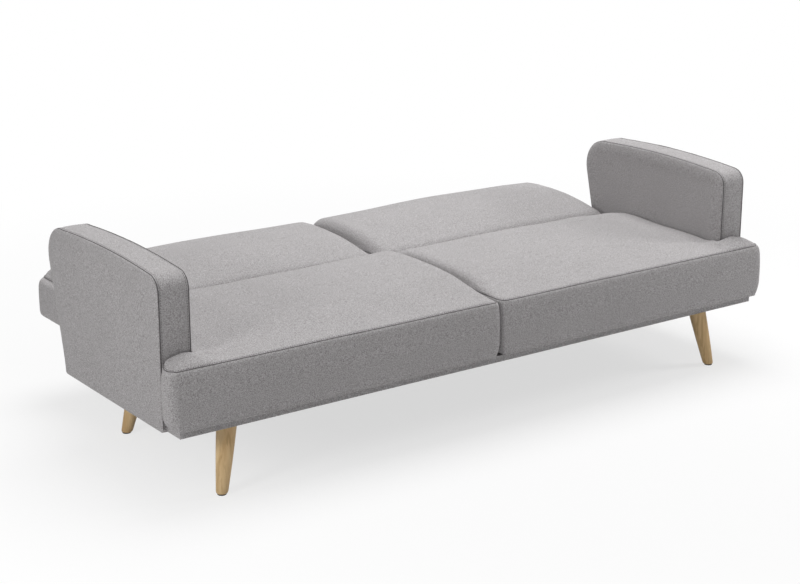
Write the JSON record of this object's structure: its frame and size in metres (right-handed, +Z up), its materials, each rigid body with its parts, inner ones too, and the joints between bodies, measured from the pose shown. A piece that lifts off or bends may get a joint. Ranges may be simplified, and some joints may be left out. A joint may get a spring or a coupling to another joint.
{
  "type": "click clack sofa bed",
  "caption": "Click clack sofa bed laid flat: long seat between low panel arms, split padded back on ratchet hinges, splayed tapered wooden legs.",
  "frame": {"origin": "on the floor under the middle of the overall box, with the bed laid flat", "axes": "+X to the right along the sofa's length as seen from the front, +Y to the back, +Z up"},
  "size_m": [2.038, 1.01, 0.597],
  "materials": {
    "upholstery": "heathered light grey weave",
    "wrapped_board": "light grey weave drawn over board",
    "webbing": "elastic webbing",
    "oak": "matt light oak",
    "frame_wood": "raw",
    "dust_cloth": "thin non-woven",
    "glide_plastic": "matt",
    "spring_steel": "blued",
    "insert_brass": "plain",
    "hinge_steel": "black powder coat",
    "zinc_steel": "zinc plated"
  },
  "bodies": {
    "base": {"arm_bolts": "zinc_steel", "dust_cover": "dust_cloth", "fixed_plate_bolts": "zinc_steel", "front_left_leg": "oak", "front_right_leg": "oak", "hinge_pins": "zinc_steel", "hinge_posts": "zinc_steel", "left_arm_cover": "upholstery", "left_arm_frame": "frame_wood", "left_inner_fixed_plate": "hinge_steel", "left_outer_fixed_plate": "hinge_steel", "left_plinth_rail": "wrapped_board", "left_seat_cushion": "upholstery", "left_seat_frame": "frame_wood", "left_seat_webbing": "webbing", "leg_bolts": "zinc_steel", "leg_glides": "glide_plastic", "leg_inserts": "insert_brass", "pawl_rivets": "zinc_steel", "pawl_springs": "spring_steel", "plinth_centre_rail": "wrapped_board", "plinth_front_rail": "wrapped_board", "plinth_rear_rail": "wrapped_board", "rear_left_leg": "oak", "rear_right_leg": "oak", "right_arm_cover": "upholstery", "right_arm_frame": "frame_wood", "right_inner_fixed_plate": "hinge_steel", "right_outer_fixed_plate": "hinge_steel", "right_plinth_rail": "wrapped_board", "right_seat_cushion": "upholstery", "right_seat_frame": "frame_wood", "right_seat_webbing": "webbing"},
    "left_back": {"left_back_cushion": "upholstery", "left_back_frame": "frame_wood", "left_back_panel": "upholstery", "left_back_webbing": "webbing", "left_inner_moving_plate": "hinge_steel", "left_moving_plate_bolts": "zinc_steel", "left_outer_moving_plate": "hinge_steel"},
    "left_outer_pawl": {"left_outer_pawl": "hinge_steel"},
    "left_inner_pawl": {"left_inner_pawl": "hinge_steel"},
    "right_back": {"right_back_cushion": "upholstery", "right_back_frame": "frame_wood", "right_back_panel": "upholstery", "right_back_webbing": "webbing", "right_inner_moving_plate": "hinge_steel", "right_moving_plate_bolts": "zinc_steel", "right_outer_moving_plate": "hinge_steel"},
    "right_outer_pawl": {"right_outer_pawl": "hinge_steel"},
    "right_inner_pawl": {"right_inner_pawl": "hinge_steel"}
  },
  "joints": [
    {"name": "left_back_tilt", "type": "hinge", "parent": "base", "child": "left_back", "pos_m": [0, 0.057, 0.344], "axis": [1, 0, 0], "range_deg": [0, 82]},
    {"name": "right_back_tilt", "type": "hinge", "parent": "base", "child": "right_back", "pos_m": [0, 0.057, 0.344], "axis": [1, 0, 0], "range_deg": [0, 82]},
    {"name": "left_outer_pawl_swing", "type": "hinge", "parent": "base", "child": "left_outer_pawl", "pos_m": [-0.886, 0.0117, 0.33601], "axis": [1, 0, 0], "range_deg": [0, 13]},
    {"name": "left_inner_pawl_swing", "type": "hinge", "parent": "base", "child": "left_inner_pawl", "pos_m": [-0.022, 0.0117, 0.33601], "axis": [1, 0, 0], "range_deg": [0, 13]},
    {"name": "right_outer_pawl_swing", "type": "hinge", "parent": "base", "child": "right_outer_pawl", "pos_m": [0.886, 0.0117, 0.33601], "axis": [1, 0, 0], "range_deg": [0, 13]},
    {"name": "right_inner_pawl_swing", "type": "hinge", "parent": "base", "child": "right_inner_pawl", "pos_m": [0.022, 0.0117, 0.33601], "axis": [1, 0, 0], "range_deg": [0, 13]}
  ],
  "couplings": [
    {"joint": "left_inner_pawl_swing", "follows": "left_outer_pawl_swing", "ratio": 1},
    {"joint": "right_inner_pawl_swing", "follows": "right_outer_pawl_swing", "ratio": 1}
  ]
}
